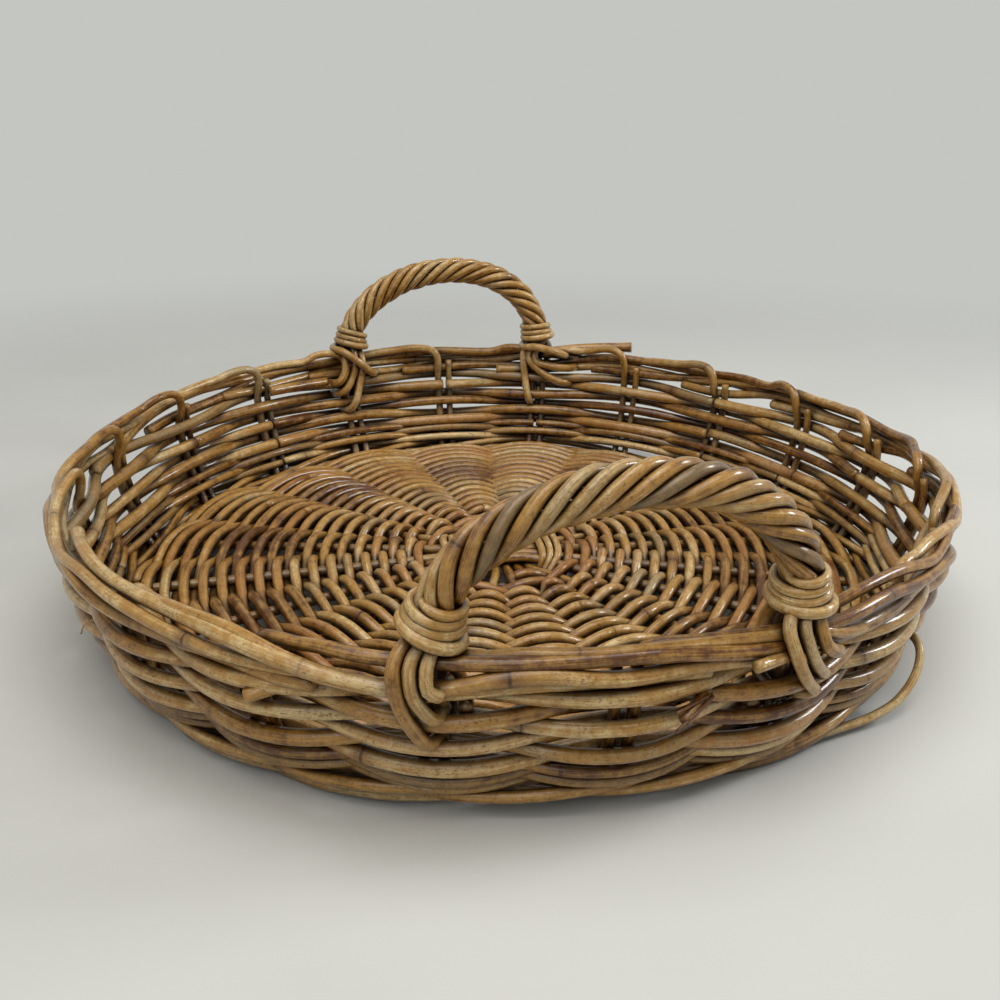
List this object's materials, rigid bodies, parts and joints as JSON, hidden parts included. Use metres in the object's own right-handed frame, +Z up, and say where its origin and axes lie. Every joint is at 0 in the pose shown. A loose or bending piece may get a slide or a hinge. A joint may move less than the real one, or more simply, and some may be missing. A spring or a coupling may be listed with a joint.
{
  "type": "wicker tray basket",
  "caption": "Round shallow woven cane tray with a domed base, an open woven wall, a border of turned-down stakes and two upright handles of twisted cane.",
  "frame": {"origin": "on the floor under the middle of the tray", "axes": "+Z up; +X from the middle of the tray to handle a, -X to handle b; +Y across, along the handles' grips"},
  "size_m": [0.5148, 0.513, 0.1607],
  "materials": {
    "base_cane": "varnished red-brown cane, satin",
    "wall_cane": "varnished tan cane with dark nodes, satin",
    "stake_cane": "varnished pale tan cane, satin",
    "handle_cane": "varnished pale tan cane, satin"
  },
  "bodies": {
    "root": {"base_stick_upper_01": "base_cane", "base_stick_upper_02": "base_cane", "base_stick_upper_03": "base_cane", "base_stick_upper_04": "base_cane", "base_stick_upper_05": "base_cane", "base_stick_lower_01": "base_cane", "base_stick_lower_02": "base_cane", "base_stick_lower_03": "base_cane", "base_stick_lower_04": "base_cane", "base_stick_lower_05": "base_cane", "base_tie": "base_cane", "base_weaver_a": "base_cane", "base_weaver_b": "base_cane", "side_stake_01": "stake_cane", "side_stake_02": "stake_cane", "side_stake_03": "stake_cane", "side_stake_04": "stake_cane", "side_stake_05": "stake_cane", "side_stake_06": "stake_cane", "side_stake_07": "stake_cane", "side_stake_08": "stake_cane", "side_stake_09": "stake_cane", "side_stake_10": "stake_cane", "side_stake_11": "stake_cane", "side_stake_12": "stake_cane", "side_stake_13": "stake_cane", "side_stake_14": "stake_cane", "side_stake_15": "stake_cane", "side_stake_16": "stake_cane", "side_stake_17": "stake_cane", "side_stake_18": "stake_cane", "side_stake_19": "stake_cane", "side_stake_20": "stake_cane", "foot_row": "wall_cane", "foot_wale": "wall_cane", "wall_row_01": "wall_cane", "wall_row_02": "wall_cane", "wall_row_03": "wall_cane", "wall_row_04": "wall_cane", "wall_row_05": "wall_cane", "wall_row_06": "wall_cane", "wall_row_07": "wall_cane", "wall_row_08": "wall_cane", "handle_a_rod_1": "handle_cane", "handle_a_rod_2": "handle_cane", "handle_a_rod_3": "handle_cane", "handle_a_rod_4": "handle_cane", "handle_a_rod_5": "handle_cane", "handle_a_rod_6": "handle_cane", "handle_b_rod_1": "handle_cane", "handle_b_rod_2": "handle_cane", "handle_b_rod_3": "handle_cane", "handle_b_rod_4": "handle_cane", "handle_b_rod_5": "handle_cane", "handle_b_rod_6": "handle_cane", "handle_a_collar_left": "handle_cane", "handle_a_collar_right": "handle_cane", "handle_b_collar_left": "handle_cane", "handle_b_collar_right": "handle_cane"}
  },
  "joints": []
}
